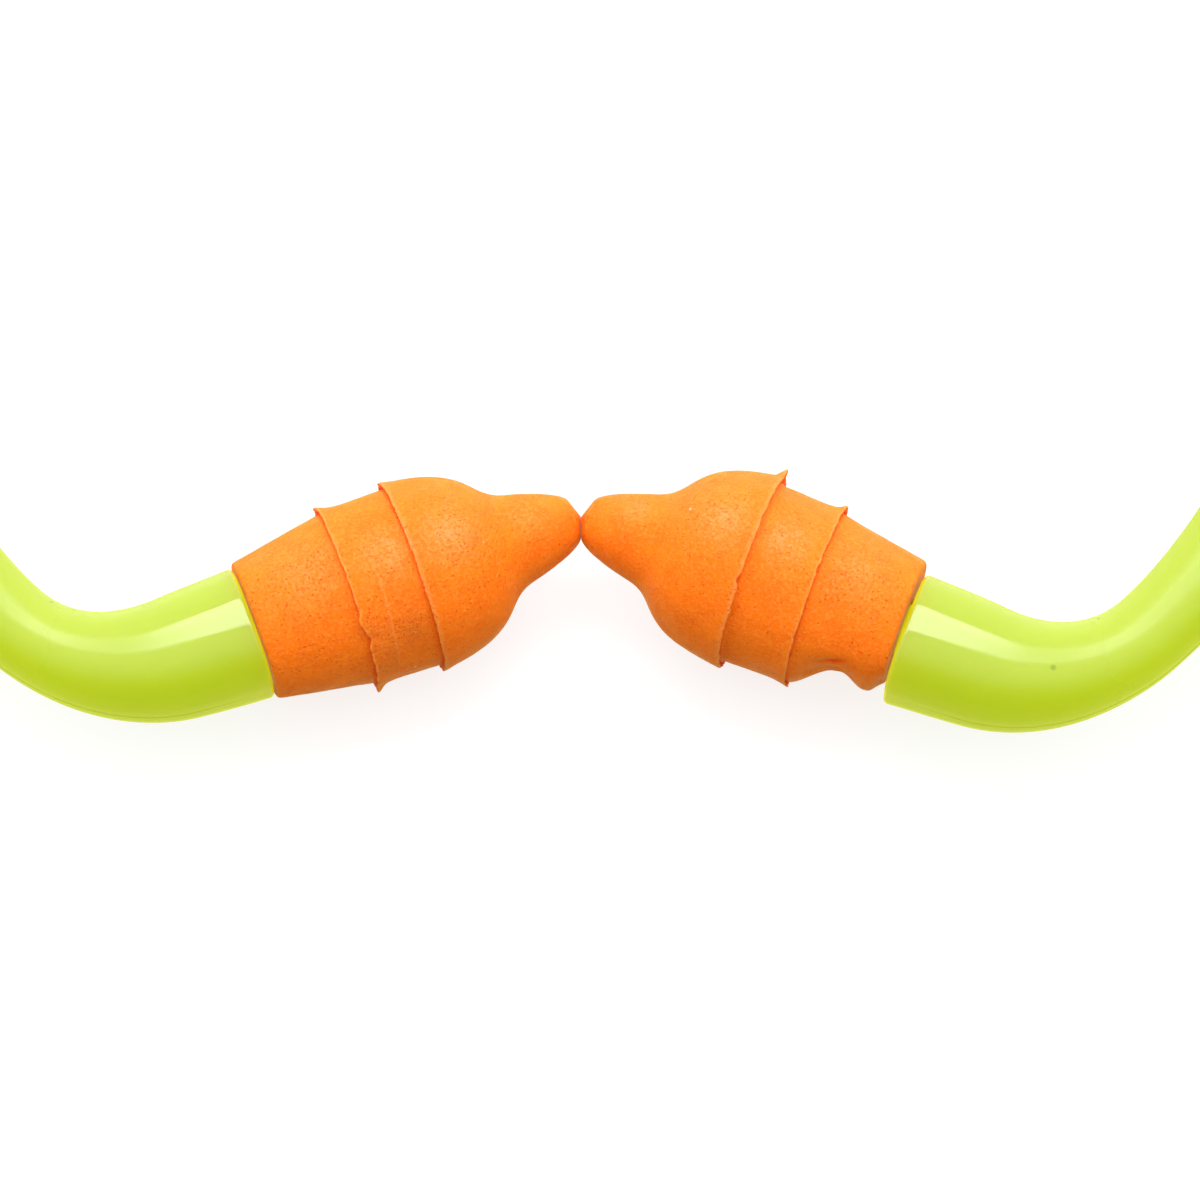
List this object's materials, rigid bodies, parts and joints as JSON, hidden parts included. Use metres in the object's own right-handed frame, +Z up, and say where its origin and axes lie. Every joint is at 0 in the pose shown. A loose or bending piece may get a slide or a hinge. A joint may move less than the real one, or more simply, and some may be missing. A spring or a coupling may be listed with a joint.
{
  "type": "banded foam ear plugs",
  "caption": "Springy plastic band shaped like a wishbone, with a stepped foam ear pod on a barbed stem at each end; the pods meet tip to tip at rest.",
  "frame": {"origin": "on the table, under the middle of the object's box", "axes": "+Z up from the table, +Y from the pods towards the crown of the band, +X to the right when the pods are near the viewer"},
  "size_m": [0.1282, 0.144, 0.0134],
  "materials": {
    "band_plastic": "gloss",
    "pod_foam": "matte"
  },
  "bodies": {
    "crown": {"band_crown": "band_plastic"},
    "left_arm": {"band_arm_left": "band_plastic"},
    "right_arm": {"band_arm_right": "band_plastic"},
    "left_pod": {"pod_left": "pod_foam"},
    "right_pod": {"pod_right": "pod_foam"}
  },
  "joints": [
    {"name": "left_arm_flex", "type": "hinge", "parent": "crown", "child": "left_arm", "pos_m": [-0.03123, 0.06207, 0.0067], "axis": [0, 0, -1], "range_deg": [0, 35], "stiffness_Nm_per_rad": 0.48, "springref_deg": -1.15},
    {"name": "right_arm_flex", "type": "hinge", "parent": "crown", "child": "right_arm", "pos_m": [0.03123, 0.06207, 0.0067], "axis": [0, 0, 1], "range_deg": [0, 35], "stiffness_Nm_per_rad": 0.48, "springref_deg": -1.15},
    {"name": "left_pod_twist", "type": "hinge", "parent": "left_arm", "child": "left_pod", "pos_m": [-0.02184, -0.06574, 0.0067], "axis": [0.9373, 0.3486, 0], "continuous": true},
    {"name": "right_pod_twist", "type": "hinge", "parent": "right_arm", "child": "right_pod", "pos_m": [0.02184, -0.06574, 0.0067], "axis": [-0.9373, 0.3486, 0], "continuous": true}
  ]
}
